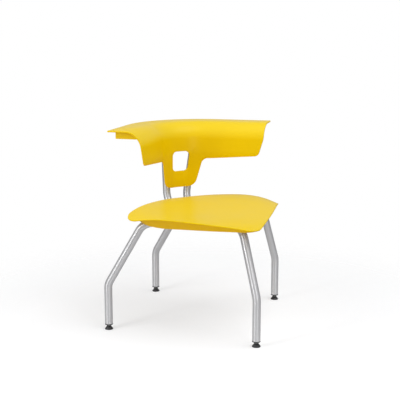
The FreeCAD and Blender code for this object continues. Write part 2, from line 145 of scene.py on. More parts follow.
class ChairBack(bpy.types.PropertyGroup):
    """Sizes of the moulded back."""
    face: length("Face", "Distance back of the sitter's side at the middle", 0.142)
    radius: length("Radius", "Radius of the curve round the sitter", 0.135)
    wing_angle: angle("Wing angle", "How far round the curve each wing starts", 44)
    wing_length: length("Wing length", "Length of a wing along its lower edge", 0.1685)
    wing_slant: length("Wing slant", "How much longer a wing is at the top", 0.0175)
    wing_corner: length("Wing corner", "Radius of a wing's lower corner", 0.017)
    wing_rise: length("Wing rise", "How far a wing's lower edge rises to its end", 0.013)
    wing_end_drop: length("Wing end drop", "How far down a wing's end is upright", 0.053)
    wing_tip: length("Wing tip", "How much further a wing's end runs out to the ledge", 0.004)
    wall: length("Wall", "Thickness of the moulding", 0.005)
    neck_depth: length("Neck depth", "How far the neck reaches below the ledge", 0.2245)
    band_depth: length("Band depth", "How far the band reaches below the ledge", 0.1245)
    bend_depth: length("Bend depth", "How far below the ledge the wall starts to lean", 0.103)
    bend_round: length("Bend round", "Radius of the soft bend where the lean starts", 0.12)
    lean: angle("Lean", "How far the neck leans", 6.5)
    tilt: angle("Tilt", "How far the band tips back above the bend", 2.3)
    flare_radius: length("Flare radius", "Radius of the flare under the ledge", 0.058)
    ledge_reach: length("Ledge reach", "How far the ledge reaches out behind the face", 0.1175)
    lip_inset: length("Lip inset", "How far the lip is set in from the ledge's rim", 0.019)
    lip_depth: length("Lip depth", "How far the lip hangs below the ledge's top", 0.028)
    lip_wall: length("Lip wall", "Thickness of the lip and the end ribs", 0.004)
    rib_setback: length("Rib setback", "How far the end ribs are set in from the wings' ends", 0.02)
    neck_bottom_half: length("Neck bottom half", "Half of the neck's width at its bottom", 0.056)
    neck_top_half: length("Neck top half", "Half of the neck's width at the band", 0.0755)
    neck_corner: length("Neck corner", "Radius of the neck's lower corners", 0.03)
    neck_fillet: length("Neck fillet", "Radius between neck and band", 0.023)
    hole_top_depth: length("Hole top", "Depth of the hand hole's top below the ledge", 0.098)
    hole_bottom_depth: length("Hole bottom", "Depth of the hand hole's bottom below the ledge", 0.167)
    hole_top_half: length("Hole top half", "Half of the hand hole's width at its top", 0.0325)
    hole_bottom_half: length("Hole bottom half", "Half of the hand hole's width at its bottom", 0.028)
    hole_corner: length("Hole corner", "Radius of the hand hole's corners", 0.015)
    boss_radius: length("Boss radius", "Radius of the screw bosses", 0.009)
    edge_round: length("Edge round", "Radius of the moulding's edges", 0.0016)


class ChairFittings(bpy.types.PropertyGroup):
    """Sizes of screws, plugs and glides."""
    screw_diameter: length("Screw diameter", "Diameter of a screw's shank", 0.005)
    head_diameter: length("Head diameter", "Diameter of a screw's head", 0.0105)
    head_height: length("Head height", "Height of a screw's head", 0.0036)
    socket_radius: length("Socket radius", "Radius across the corners of a screw's hexagon socket", 0.0021)
    socket_depth: length("Socket depth", "Depth of a screw's hexagon socket", 0.0022)
    hub_screw_x: length("Hub screw X", "Distance of the hub's screws from the middle", 0.075)
    hub_screw_y: length("Hub screw Y", "Distance of the hub's screws from the hub's centre line", 0.048)
    rear_screw_x: length("Rear screw X", "Distance of the rear plate's screws from the middle", 0.068)
    low_screw_depth: length("Low screw", "Depth of the lower back screws below the ledge", 0.193)
    high_screw_depth: length("High screw", "Depth of the upper back screws below the ledge", 0.093)
    plug_length: length("Plug length", "How far a tube plug goes in", 0.014)
    plug_head: length("Plug head", "Height of a tube plug's head", 0.003)
    plate_corner: length("Plate corner", "Radius of the steel plates' corners", 0.012)
    screw_skin: length("Screw skin", "Plastic left in front of a screw's tip", 0.00265)


class ChairGlides(bpy.types.PropertyGroup):
    """Sizes of the glides."""
    sleeve_length: length("Sleeve length", "How far a sleeve goes up into its tube", 0.03)
    flange: length("Flange", "Thickness of the ring under the tube's end", 0.002)
    ring_proud: length("Ring proud", "How far the ring stands proud of its tube", 0.0005)
    ring_height: length("Ring height", "How far the ring laps up round its tube", 0.0014)
    stem_diameter: length("Stem diameter", "Diameter of the stem in its sleeve", 0.008)
    stem_length: length("Stem length", "Length of the stem above its collar", 0.026)
    stem_clearance: length("Stem clearance", "Play of the stem in its sleeve", 0.00005)
    collar_diameter: length("Collar diameter", "Diameter of the stem's collar", 0.014)
    collar_height: length("Collar height", "Height of the stem's collar", 0.0018)
    collar_gap: length("Collar gap", "Gap between collar and sleeve", 0.0003)
    ball_diameter: length("Ball diameter", "Diameter of the stem's ball", 0.01)
    ball_height: length("Ball height", "Height of the ball's centre above the floor", 0.0076)
    ball_clearance: length("Ball clearance", "Play of the ball in its socket", 0.00005)
    neck_diameter: length("Neck diameter", "Diameter of the stem above its ball", 0.006)
    foot_diameter: length("Foot diameter", "Diameter of the foot on the floor", 0.027)
    foot_top_diameter: length("Foot top diameter", "Diameter of the foot at its top", 0.0126)
    foot_edge: length("Foot edge", "Height of the pad's rim", 0.002)
    foot_height: length("Foot height", "Height of the foot", 0.0116)
    mouth_diameter: length("Mouth diameter", "Diameter of the opening in the foot's top", 0.0086)
    cap_wall: length("Cap wall", "Thickness of the cap", 0.0012)
    edge_round: length("Edge round", "Radius of the glides' edges", 0.0005)


class ChairFinish(bpy.types.PropertyGroup):
    """Colours and textures of the chair's materials."""
    shell_colour: colour("Shell colour", "Colour of the moulded seat and back", (0.83, 0.555, 0.0003))
    # Painted sheen: faces that look up are paled towards this colour, standing in for the light from above
    painted_sheen_colour: colour("Painted sheen colour", "Colour painted as sheen on what looks up", (0.83, 0.84, 0.14))
    # Painted shade: faces that look down are deepened towards this orange, standing in for the shade under
    # them
    painted_shade_colour: colour("Painted shade colour", "Colour painted as shade on what looks down", (0.9, 0.52, 0.0))
    painted_sheen_share: share("Painted sheen", "How much of the painted sheen colour shows", 0.14)
    shell_roughness: share("Shell roughness", "How dull the moulded plastic is", 0.35)
    grain_size: length("Grain size", "Width of the moulded grain", 0.0012)
    tube_colour: colour("Tube colour", "Colour of the satin tube", (0.56, 0.56, 0.57))
    tube_edge_colour: colour("Tube edge colour", "Tint of what the tube's edges mirror", (0.25, 0.25, 0.26))
    tube_roughness: share("Tube roughness", "How dull the satin tube is", 0.42)
    tube_grind: share("Tube grind", "How far grinding draws highlights out along the tube", 0.85)
    weld_colour: colour("Weld colour", "Colour of the weld beads", (0.448, 0.448, 0.456))
    weld_roughness: share("Weld roughness", "How dull the weld beads are", 0.52)
    glide_colour: colour("Glide colour", "Colour of the dark nylon", (0.016, 0.016, 0.018))
    glide_roughness: share("Glide roughness", "How dull the dark nylon is", 0.5)
    zinc_colour: colour("Zinc colour", "Colour of the plated screws and stems", (0.62, 0.62, 0.59))
    zinc_roughness: share("Zinc roughness", "How dull the plated screws and stems are", 0.35)


class ChairStage(bpy.types.PropertyGroup):
    """Camera, lamps and floor."""
    camera_place: spot("Camera place", "Where the camera stands", (-1.4607, -2.5434, 0.979))
    camera_turn: vector(
        "Camera turn", "How the camera is turned", (radians(78.91), 0.0, radians(-29.78)), subtype="EULER")
    lens: number("Lens", "Focal length on a 36 mm sensor", 80.76, unit="CAMERA")
    lamp_aim: spot("Lamp aim", "What all lamps point at", (0.0, -0.05, 0.4))
    key_place: spot("Key place", "Where the large lamp hangs", (0.7, -1.0, 3.0))
    key_power: lamp_power("Key power", "Power of the large lamp above", 45.0)
    fill_place: spot("Fill place", "Where the lamp on the left stands", (-2.2, -0.1, 1.7))
    fill_power: lamp_power("Fill power", "Power of the lamp on the left", 17.0)
    strip_place: spot("Strip place", "Where the narrow lamp stands", (-2.4, -0.5, 0.75))
    strip_power: lamp_power("Strip power", "Power of the narrow lamp that stripes the tubes", 12.5)
    front_place: spot("Front place", "Where the low lamp in front stands", (-0.4, -2.7, 0.75))
    front_power: lamp_power("Front power", "Power of the low lamp in front", 11.5)
    world_level: number("Room light", "Strength of the even light from all round", 0.42)
    horizon_level: number("Wall level", "How bright the walls of the room look in a mirror", 0.3)
    ceiling_level: number("Ceiling level", "How bright the ceiling of the room looks in a mirror", 0.7)
    floor_colour: colour("Floor colour", "Colour of the floor", (0.547, 0.55, 0.559))
    floor_lift: number("Floor lift", "How far the floor is lifted towards white for the eye", 0.485)
    floor_reach: length("Floor reach", "How far the floor goes before it fades", 0.5)
    floor_fade: length("Floor fade", "How far the floor takes to fade into the room", 0.7)


# Modelling helpers

def geometry(shape):
    return shape.verts[:] + shape.edges[:] + shape.faces[:]


def place_along(point, direction):
    """The matrix that stands a shape on a point with its Z axis along a direction."""
    return Matrix.Translation(point) @ direction.to_track_quat("Z", "Y").to_matrix().to_4x4()


def rounded_outline(corners):
    """A flat face through corners of x, y and radius, each corner rounded to its radius."""
    shape = bmesh.new()
    points = [Vector((x, y, 0)) for x, y, radius in corners]
    verts = [shape.verts.new(point) for point in points]
    shape.faces.new(verts)
    for index, vert in enumerate(verts):
        radius = corners[index][2]
        if radius > 0:
            inward = points[index] - points[index - 1]
            outward = points[(index + 1) % len(points)] - points[index]
            setback = radius * tan(inward.angle(outward) / 2)
            bmesh.ops.bevel(
                shape, geom=[vert], offset=setback, offset_type="OFFSET", affect="VERTICES",
                segments=8, profile=0.5, material=-1)
    return shape


def thicken(shape, direction):
    """Pushes a flat face out into a block."""
    made = bmesh.ops.extrude_face_region(shape, geom=shape.faces[:], use_keep_orig=True)
    moved = [item for item in made["geom"] if isinstance(item, bmesh.types.BMVert)]
    bmesh.ops.translate(shape, verts=moved, vec=direction)
    bmesh.ops.recalc_face_normals(shape, faces=shape.faces[:])


def round_edges(shape, radius):
    """Rounds the edges whose faces meet at a corner."""
    edges = [
        edge for edge in shape.edges
        if len(edge.link_faces) == 2 and edge.calc_face_angle(0) > EDGE_ANGLE]
    bmesh.ops.bevel(
        shape, geom=edges, offset=radius, offset_type="OFFSET", affect="EDGES",
        segments=3, profile=0.5, material=-1)


def slices(shape, axis, low, high, count):
    """Cuts a shape across an axis into a number of slices, so that it can be bent."""
    normal = Vector((0, 0, 0))
    normal[axis] = 1
    for step in range(count + 1):
        place = normal * (low + (high - low) * step / count)
        bmesh.ops.bisect_plane(
            shape, geom=geometry(shape), dist=ON_PLANE, plane_co=place, plane_no=normal)


def bent(shape, place):
    """A shape with each of its points moved to where a rule places it."""
    for vert in shape.verts:
        vert.co = place(vert.co)
    bmesh.ops.recalc_face_normals(shape, faces=shape.faces[:])
    return shape


def spin_round(shape, steps):
    """Spins a profile once round the Z axis."""
    bmesh.ops.spin(
        shape, geom=shape.verts[:] + shape.edges[:], cent=(0, 0, 0), axis=(0, 0, 1), angle=2 * pi,
        steps=steps, use_merge=True)
    tidy(shape)


def turned(profile, steps=40):
    """A shape turned about Z from corners of radius, height and rounding."""
    shape = rounded_outline(profile)
    bmesh.ops.delete(shape, geom=shape.faces[:], context="FACES_ONLY")
    core = [edge for edge in shape.edges if all(vert.co.x < ON_PLANE for vert in edge.verts)]
    bmesh.ops.delete(shape, geom=core, context="EDGES")
    upright = Matrix.Rotation(pi / 2, 3, "X")
    bmesh.ops.rotate(shape, verts=shape.verts[:], cent=(0, 0, 0), matrix=upright)
    spin_round(shape, steps)
    return shape


def tidy(shape):
    """Merges doubled points and turns all faces outward."""
    bmesh.ops.remove_doubles(shape, verts=shape.verts[:], dist=TOUCHING)
    bmesh.ops.recalc_face_normals(shape, faces=shape.faces[:])


def add_copy(target, shape, matrix):
    """Adds a placed copy of a shape to another."""
    mesh = bpy.data.meshes.new("copy")
    shape.to_mesh(mesh)
    mesh.transform(matrix)
    target.from_mesh(mesh)
    bpy.data.meshes.remove(mesh)


def scene_object(name, shape):
    """An object at the origin with a shape as its mesh."""
    mesh = bpy.data.meshes.new(name)
    shape.to_mesh(mesh)
    shape.free()
    item = bpy.data.objects.new(name, mesh)
    bpy.context.scene.collection.objects.link(item)
    return item


def united(name, base, others):
    """One object from a base shape and the shapes that are moulded on to it."""
    body = scene_object(name, base)
    helpers = []
    for other in others:
        helper = scene_object(name + "_part", other)
        helpers.append(helper)
        joint = body.modifiers.new("join", "BOOLEAN")
        joint.operation = "UNION"
        joint.solver = "EXACT"
        joint.object = helper
    bpy.context.view_layer.update()
    graph = bpy.context.evaluated_depsgraph_get()
    mesh = bpy.data.meshes.new_from_object(body.evaluated_get(graph))
    body.modifiers.clear()
    body.data = mesh
    for helper in helpers:
        bpy.data.objects.remove(helper)
    return body


def finish_piece(piece, material, nodes, body=ROOT):
    """Smooths a piece, gives it its material and lets it stand for CAD nodes."""
    piece.data.shade_smooth()
    piece.data.set_sharp_from_angle(angle=SHARP_ANGLE)
    piece.data.materials.clear()
    piece.data.materials.append(material)
    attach(piece, body)
    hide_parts(*nodes)


# Back

def back_sizes():
    return bpy.context.scene.chair_back


def flare_start():
    """The run along the wall's section where the flare starts."""
    back = back_sizes()
    return LEDGE_HEIGHT - back.flare_radius * (1 - sin(back.tilt))


def flare_length():
    back = back_sizes()
    return back.flare_radius * (pi / 2 - back.tilt)


def wall_section(run):
    """Offset, height and slant of the sitter's face; the run is the height below the flare."""
    back = back_sizes()
    if run < flare_start():
        offset, slope = soft_bend(run - LEDGE_HEIGHT + back.bend_depth)
        return offset, run, atan(slope)
    flare_reach = back.flare_radius * cos(back.tilt) / (1 + sin(back.tilt))
    centre = back.bend_depth * tan(back.tilt) + flare_reach
    beyond = run - flare_start()
    slant = back.tilt + beyond / back.flare_radius
    if slant < pi / 2:
        height = LEDGE_HEIGHT - back.flare_radius * (1 - sin(slant))
        return centre - back.flare_radius * cos(slant), height, slant
    return centre + beyond - flare_length(), LEDGE_HEIGHT, pi / 2


def soft_bend(rise):
    """Offset and slope of the face at a rise above its bend, with the bend rounded."""
    back = back_sizes()
    lower = -tan(back.lean)
    upper = tan(back.tilt)
    half = bend_half()
    if rise < -half:
        return lower * rise, lower
    if rise > half:
        return upper * rise, upper
    part = rise + half
    slope = lower + (upper - lower) * part / (2 * half)
    return -lower * half + lower * part + (upper - lower) * part ** 2 / (4 * half), slope


def bend_half():
    back = back_sizes()
    return back.bend_round * tan((back.lean + back.tilt) / 2)


def round_sitter(across, offset, height):
    """A place on the back: across from its middle, behind the sitter's face and above the floor."""
    back = back_sizes()
    swept = min(abs(across) / back.radius, back.wing_angle)
    beyond = abs(across) - swept * back.radius
    reach = back.radius + offset
    x = reach * sin(swept) + beyond * cos(swept)
    y = back.face - back.radius + reach * cos(swept) - beyond * sin(swept)
    return Vector((x if across > 0 else -x, y, height))


def wall_place(flat):
    """Where a point of the flat plate lies once the plate is bent round the sitter."""
    across, run, depth = flat
    offset, height, slant = wall_section(run)
    return round_sitter(across, offset + depth * cos(slant), height - depth * sin(slant))


def across_at(x, height):
    """How far round the back a point is that lies at x in front view."""
    radius = back_sizes().radius
    return radius * asin(x / (radius + wall_section(height)[0]))


def half_plate():
    """The right half of the back laid flat, with half of the hand hole."""
    back = back_sizes()
    neck_bottom = LEDGE_HEIGHT - back.neck_depth
    band_bottom = LEDGE_HEIGHT - back.band_depth
    hole_top = LEDGE_HEIGHT - back.hole_top_depth
    hole_bottom = LEDGE_HEIGHT - back.hole_bottom_depth
    wing = back.radius * back.wing_angle
    end = wing + back.wing_length + back.wing_slant
    tip = end + back.wing_tip
    flare_end = flare_start() + flare_length()
    rim = flare_end + back.ledge_reach - wall_section(flare_end)[0]
    shape = rounded_outline([
        (0, neck_bottom, 0),
        (across_at(back.neck_bottom_half, neck_bottom), neck_bottom, back.neck_corner),
        (across_at(back.neck_top_half, band_bottom), band_bottom, back.neck_fillet),
        (wing, band_bottom, back.radius),
        (wing + back.wing_length, band_bottom + back.wing_rise, back.wing_corner),
        (end, LEDGE_HEIGHT - back.wing_end_drop, back.flare_radius),
        (tip, flare_end, back.flare_radius),
        (tip, rim, back.wall / 2),
        (0, rim, 0),
        (0, hole_top, 0),
        (across_at(back.hole_top_half, hole_top), hole_top, back.hole_corner),
        (across_at(back.hole_bottom_half, hole_bottom), hole_bottom, back.hole_corner),
        (0, hole_bottom, 0),
    ])
    thicken(shape, (0, 0, back.wall))
    middle = [face for face in shape.faces if all(abs(vert.co.x) < ON_PLANE for vert in face.verts)]
    bmesh.ops.delete(shape, geom=middle, context="FACES_ONLY")
    return shape


def back_wall():
    """The whole wall, mirrored, sliced and bent round the sitter."""
    back = back_sizes()
    shape = half_plate()
    round_edges(shape, back.edge_round)
    bmesh.ops.mirror(
        shape, geom=geometry(shape), matrix=Matrix.Identity(4), merge_dist=TOUCHING, axis="X")
    tidy(shape)
    wing = back.radius * back.wing_angle
    bend = LEDGE_HEIGHT - back.bend_depth
    slices(shape, 0, -wing, wing, SWEEP_SLICES)
    slices(shape, 1, bend - bend_half(), bend + bend_half(), BEND_SLICES)
    slices(shape, 1, flare_start(), flare_start() + flare_length(), FLARE_SLICES)
    return bent(shape, wall_place)


def rib_end():
    back = back_sizes()
    return back.radius * back.wing_angle + back.wing_length + back.wing_slant - back.rib_setback


def back_lip():
    """The lip under the ledge, from one end rib to the other."""
    back = back_sizes()
    outer = back.ledge_reach - back.lip_inset
    low = LEDGE_HEIGHT - back.lip_depth
    high = LEDGE_HEIGHT - back.wall / 2
    centre = Vector((0, outer - back.lip_wall / 2, (low + high) / 2))
    size = (2 * rib_end(), back.lip_wall, high - low, 1)
    shape = bmesh.new()
    bmesh.ops.create_cube(shape, size=1, matrix=Matrix.Translation(centre) @ Matrix.Diagonal(size))
    round_edges(shape, back.lip_wall / 4)
    wing = back.radius * back.wing_angle
    slices(shape, 0, -wing, wing, SWEEP_SLICES)
    return bent(shape, lambda flat: round_sitter(*flat))


def end_rib(side):
    """The web between flare and lip near a wing's end."""
    back = back_sizes()
    outer = back.ledge_reach - back.lip_inset - back.lip_wall / 2
    low = LEDGE_HEIGHT - back.lip_depth
    middle = back.wall / 2
    corners = [(outer, low, back.lip_wall / 2), (outer, LEDGE_HEIGHT - middle, 0)]
    for step in range(RIB_STEPS + 1):
        offset, height, slant = wall_section(flare_start() + flare_length() * (1 - step / RIB_STEPS))
        height -= middle * sin(slant)
        if height > low:
            corners.append((offset + middle * cos(slant), height, 0))
    corners.append((corners[-1][0], low, 0))
    shape = rounded_outline(corners)
    thicken(shape, (0, 0, back.lip_wall))

    def rib_place(flat):
        offset, height, depth = flat
        return round_sitter(side * (rib_end() - back.lip_wall + depth), offset, height)

    return bent(shape, rib_place)


def back_screw_axis():
    """The direction in which the back screws run, square to the uprights."""
    lean = tube_sizes().upright_lean
    return Vector((0, -cos(lean), -sin(lean)))


def back_screw_places():
    """The upright's centre at each back screw."""
    fitting = fitting_sizes()
    places = []
    for depth in (fitting.low_screw_depth, fitting.high_screw_depth):
        for side in (-1, 1):
            places.append(upright_at(side, LEDGE_HEIGHT - depth))
    return places


def wall_distance(centre):
    """How far the wall's face is from an upright's centre along a back screw."""
    back = back_sizes()
    reach = back.radius + wall_section(centre.z)[0]
    face = back.face - back.radius + sqrt(reach ** 2 - centre.x ** 2)
    return (face - centre.y) / back_screw_axis().y


def back_boss(centre):
    """The boss that a back screw is driven into."""
    back = back_sizes()
    depth = wall_distance(centre) - back.wall / 2
    shape = bmesh.new()
    matrix = place_along(centre + back_screw_axis() * depth / 2, back_screw_axis())
    bmesh.ops.create_cone(
        shape, cap_ends=True, segments=40, radius1=back.boss_radius, radius2=back.boss_radius,
        depth=depth, matrix=matrix)
    return shape


# Tubes

def tube_sizes():
    return bpy.context.scene.chair_tubes


def beam_height():
    return PLATE_BOTTOM - tube_sizes().diameter / 2


def foot(place):
    """The point on the floor under a leg."""
    low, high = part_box(place + "_glide_pad")
    return Vector(((low.x + high.x) / 2, (low.y + high.y) / 2, 0))


def leg_route(place, heading, lean, end):
    """A leg from its foot: upright to the knee, leaning in to the shoulder, then level to its end."""
    start = foot(place)
    return [
        start + Vector((0, 0, TUBE_END)),
        start + Vector((0, 0, tube_sizes().knee_height)),
        start + heading * lean + Vector((0, 0, beam_height())),
        end + Vector((0, 0, beam_height())),
    ]


def side_leg_route(place, side):
    tubes = tube_sizes()
    heading = Vector((-side * cos(tubes.side_heading), -sin(tubes.side_heading), 0))
    reach = (abs(foot(place).x) - tubes.rail_offset) / cos(tubes.side_heading)
    return leg_route(place, heading, tubes.side_lean, foot(place) + heading * reach)


def upright_at(side, height):
    """The centre of an upright at a height."""
    tubes = tube_sizes()
    rise = height - beam_height()
    x = tubes.rail_offset + tan(tubes.upright_spread) * rise
    return Vector((side * x, tubes.upright_corner - tan(tubes.upright_lean) * rise, height))


def rail_route(side):
    """An upright from its top end down, and forward under the seat to its nose."""
    tubes = tube_sizes()
    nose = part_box("right_upright")[0].y
    return [
        upright_at(side, LEDGE_HEIGHT - tubes.upright_drop),
        upright_at(side, beam_height()),
        Vector((side * tubes.rail_offset, nose, beam_height())),
    ]


def ring_edges(made):
    return [item for item in made if isinstance(item, bmesh.types.BMEdge)]


def ring_verts(edges):
    return list({vert for edge in edges for vert in edge.verts})


def push_ring(shape, edges, offset):
    """Draws a ring of edges out along an offset."""
    made = ring_edges(bmesh.ops.extrude_edge_only(shape, edges=edges)["geom"])
    bmesh.ops.translate(shape, verts=ring_verts(made), vec=offset)
    return made


def swing_ring(shape, edges, corner, inward, outward, radius):
    """Draws a ring of edges round a bend."""
    turn = inward.angle(outward)
    side = (outward - inward * inward.dot(outward)).normalized()
    centre = corner - inward * radius * tan(turn / 2) + side * radius
    made = bmesh.ops.spin(
        shape, geom=edges + ring_verts(edges), cent=centre, axis=inward.cross(side), angle=turn,
        steps=12)
    return ring_edges(made["geom_last"])


def close_mouth(shape, edges, centre, inside, bore_share, depth):
    """Turns a tube's end in to its bore and closes it out of sight."""
    rim = ring_edges(bmesh.ops.extrude_edge_only(shape, edges=edges)["geom"])
    space = Matrix.Translation(-centre)
    bmesh.ops.scale(shape, verts=ring_verts(rim), vec=(bore_share, bore_share, bore_share), space=space)
    bottom = push_ring(shape, rim, inside * depth)
    bmesh.ops.edgeloop_fill(shape, edges=bottom)


def bent_tube(route):
    """A tube bent through the points of a route, with open mouths."""
    tubes = tube_sizes()
    radius = tubes.diameter / 2
    shape = bmesh.new()
    first = (route[1] - route[0]).normalized()
    start = bmesh.ops.create_circle(
        shape, segments=48, radius=radius, matrix=place_along(route[0], first))
    edges = list({edge for vert in start["verts"] for edge in vert.link_edges})
    mouth = edges
    here = route[0]
    for corner, after in zip(route[1:], route[2:]):
        inward = (corner - here).normalized()
        outward = (after - corner).normalized()
        setback = tubes.bend_radius * tan(inward.angle(outward) / 2)
        edges = push_ring(shape, edges, corner - inward * setback - here)
        edges = swing_ring(shape, edges, corner, inward, outward, tubes.bend_radius)
        here = corner + outward * setback
    last = (route[-1] - here).normalized()
    edges = push_ring(shape, edges, route[-1] - here)
    bore_share = 1 - tubes.wall / radius
    close_mouth(shape, mouth, route[0], first, bore_share, tubes.diameter)
    close_mouth(shape, edges, route[-1], -last, bore_share, tubes.diameter)
    tidy(shape)
    mark_axis(shape, route)
    return shape


def mark_axis(shape, route):
    """Notes at each point of a tube which way the tube runs there, for its ground finish."""
    layer = shape.verts.layers.float_vector.new("tube_axis")
    for vert in shape.verts:
        along = Vector((0, 0, 0))
        for start, end in zip(route, route[1:]):
            part = intersect_point_line(vert.co, start, end)[1]
            near = start.lerp(end, max(0.0, min(1.0, part)))
            along += (end - start).normalized() / (vert.co - near).length ** AXIS_FALLOFF
        vert[layer] = along.normalized()


def saddle_bead(route, side):
    """The weld where a side leg meets the flank of its rail."""
    tubes = tube_sizes()
    radius = tubes.diameter / 2
    centre = route[-1]
    heading = (route[-1] - route[-2]).normalized()
    shape = turned_ring(radius, tubes.bead, place_along(centre, heading))

    def on_flank(point):
        rise = (point.z - centre.z) / (radius + tubes.bead)
        rise = max(-STEEPEST_WELD, min(STEEPEST_WELD, rise))
        flank = side * radius * sqrt(1 - rise ** 2)
        away = point - centre
        plane_x = (away - heading * away.dot(heading)).x
        return point + heading * ((flank - plane_x) / heading.x)

    return bent(shape, on_flank)


def turned_ring(radius, thickness, matrix):
    """A ring of round section about an axis."""
    shape = bmesh.new()
    upright = Matrix.Translation((radius, 0, 0)) @ Matrix.Rotation(pi / 2, 4, "X")
    bmesh.ops.create_circle(shape, segments=12, radius=thickness, matrix=upright)
    spin_round(shape, steps=48)
    bmesh.ops.transform(shape, verts=shape.verts[:], matrix=matrix)
    return shape


# Fittings

def fitting_sizes():
    return bpy.context.scene.chair_fittings


def screw(length_under_head):
    """A round-headed screw with a hexagon socket, its seat at the origin and its shank along Z."""
    fitting = fitting_sizes()
    head = fitting.head_diameter / 2
    shank = fitting.screw_diameter / 2
    top = -fitting.head_height
    floor = top + fitting.socket_depth
    crown = fitting.head_height / 3
    shape = turned([
        (0, floor, 0), (fitting.socket_radius, floor, 0), (fitting.socket_radius, top, 0),
        (head - crown, top, crown / 2), (head, top + crown, crown / 2), (head, 0, 0), (shank, 0, 0),
        (shank, length_under_head - shank, 0), (0, length_under_head, 0),
    ], steps=36)
    for vert in shape.verts:
        reach = vert.co.xy.length
        if abs(reach - fitting.socket_radius) < TOUCHING and vert.co.z < floor + TOUCHING:
            turn = (vert.co.xy.angle_signed(Vector((1, 0))) % (pi / 3)) - pi / 6
            share_out = cos(pi / 6) / cos(turn)
            vert.co.x *= share_out
            vert.co.y *= share_out
    return shape


def tube_plug():
    """A push-in plug with a domed head, its seat at the origin and its head along Z."""
    tubes = tube_sizes()
    fitting = fitting_sizes()
    radius = tubes.diameter / 2
    bore = radius - tubes.wall
    dome = fitting.plug_head / 2
    return turned([
        (0, -fitting.plug_length, 0), (bore, -fitting.plug_length, dome), (bore, 0, 0), (radius, 0, 0),
        (radius, dome, dome / 2), (radius - 2 * dome, fitting.plug_head, 2 * dome),
        (0, fitting.plug_head, 0),
    ])


def plate_middle(node):
    low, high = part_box(node)
    return (low.y + high.y) / 2


def seat_screw_places():
    """Where the six seat screws stand in plan."""
    fitting = fitting_sizes()
    places = []
    for side in (-1, 1):
        for end in (-1, 1):
            y = plate_middle("hub_plate") + end * fitting.hub_screw_y
            places.append(Vector((side * fitting.hub_screw_x, y)))
        places.append(Vector((side * fitting.rear_screw_x, plate_middle("rear_plate"))))
    return places


def seat_screw_tip(place):
    """The height that the screw at a place reaches in the CAD."""
    near = fitting_sizes().head_diameter
    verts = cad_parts["seat_screws"].data.vertices
    return max(vert.co.z for vert in verts if (vert.co.xy - place).length < near)


def steel_plate(node):
    """A plate with rounded corners and edges in the place of a node."""
    low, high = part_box(node)
    corner = fitting_sizes().plate_corner
    shape = rounded_outline([
        (low.x, low.y, corner), (high.x, low.y, corner),
        (high.x, high.y, corner), (low.x, high.y, corner)])
    bmesh.ops.translate(shape, verts=shape.verts[:], vec=(0, 0, low.z))
    thicken(shape, (0, 0, high.z - low.z))
    round_edges(shape, (high.z - low.z) / 5)
    return shape


# Glides, each turned on the Z axis with the floor at the origin

def ball_arc(radius, first, last, steps=10):
    """Corners of a round profile about the ball's centre between two angles from straight down."""
    height = glide_sizes().ball_height
    corners = []
    for step in range(steps + 1):
        swing = first + (last - first) * step / steps
        corners.append((radius * sin(swing), height - radius * cos(swing), 0))
    return corners


def glide_sizes():
    return bpy.context.scene.chair_glides


def glide_sleeve():
    """The ring at the tube's end and the sleeve inside it."""
    glide = glide_sizes()
    tubes = tube_sizes()
    radius = tubes.diameter / 2
    ring = radius + glide.ring_proud
    bore = glide.stem_diameter / 2 + glide.stem_clearance
    bottom = TUBE_END - glide.flange
    top = TUBE_END + glide.sleeve_length
    return turned([
        (bore, bottom, 0), (ring, bottom, glide.edge_round), (ring, TUBE_END + glide.ring_proud, 0),
        (radius, TUBE_END + glide.ring_height, 0), (radius, TUBE_END, 0),
        (radius - tubes.wall, TUBE_END, 0), (radius - tubes.wall, top, 0), (bore, top, 0),
    ])


def glide_stem():
    """The stem with its collar, neck and ball."""
    glide = glide_sizes()
    ball = glide.ball_diameter / 2
    neck = glide.neck_diameter / 2
    collar = glide.collar_diameter / 2
    stem = glide.stem_diameter / 2
    high = TUBE_END - glide.flange - glide.collar_gap
    low = high - glide.collar_height
    profile = ball_arc(ball, 0, pi - asin(neck / ball))
    profile += [
        (neck, low, 0), (collar, low, glide.edge_round), (collar, high, glide.edge_round),
        (stem, high, 0), (stem, high + glide.stem_length, 0), (0, high + glide.stem_length, 0),
    ]
    return turned(profile)


def glide_cap():
    """The cone that holds the ball down in the pad."""
    glide = glide_sizes()
    outer = glide.foot_diameter / 2
    top = glide.foot_top_diameter / 2
    mouth = glide.mouth_diameter / 2
    wall = glide.cap_wall
    ceiling = glide.foot_height - wall
    return turned([
        (outer, glide.foot_edge, glide.edge_round / 2), (top, glide.foot_height, glide.edge_round),
        (mouth, glide.foot_height, glide.edge_round), (mouth, ceiling, 0), (top - wall, ceiling, 0),
        (outer - wall, glide.foot_edge, 0),
    ])


def glide_pad():
    """The pad that stands on the floor, with the ball's socket."""
    glide = glide_sizes()
    outer = glide.foot_diameter / 2
    wall = glide.cap_wall
    ceiling = glide.foot_height - wall
    mouth = glide.mouth_diameter / 2
    socket = glide.ball_diameter / 2 + glide.ball_clearance
    profile = [
        (0, 0, 0), (outer, 0, glide.edge_round), (outer, glide.foot_edge, glide.edge_round / 2),
        (outer - wall, glide.foot_edge, 0), (glide.foot_top_diameter / 2 - wall, ceiling, 0),
        (mouth, ceiling, 0),
    ]
    profile += ball_arc(socket, pi - asin(mouth / socket), 0)
    return turned(profile)


# Materials

def finish_settings():
    return bpy.context.scene.chair_finish


def add_node(tree, kind, **inputs):
    """A node of a kind with values set on its named sockets."""
    node = tree.nodes.new(kind)
    for name, value in inputs.items():
        node.inputs[name.replace("_", " ")].default_value = value
    return node


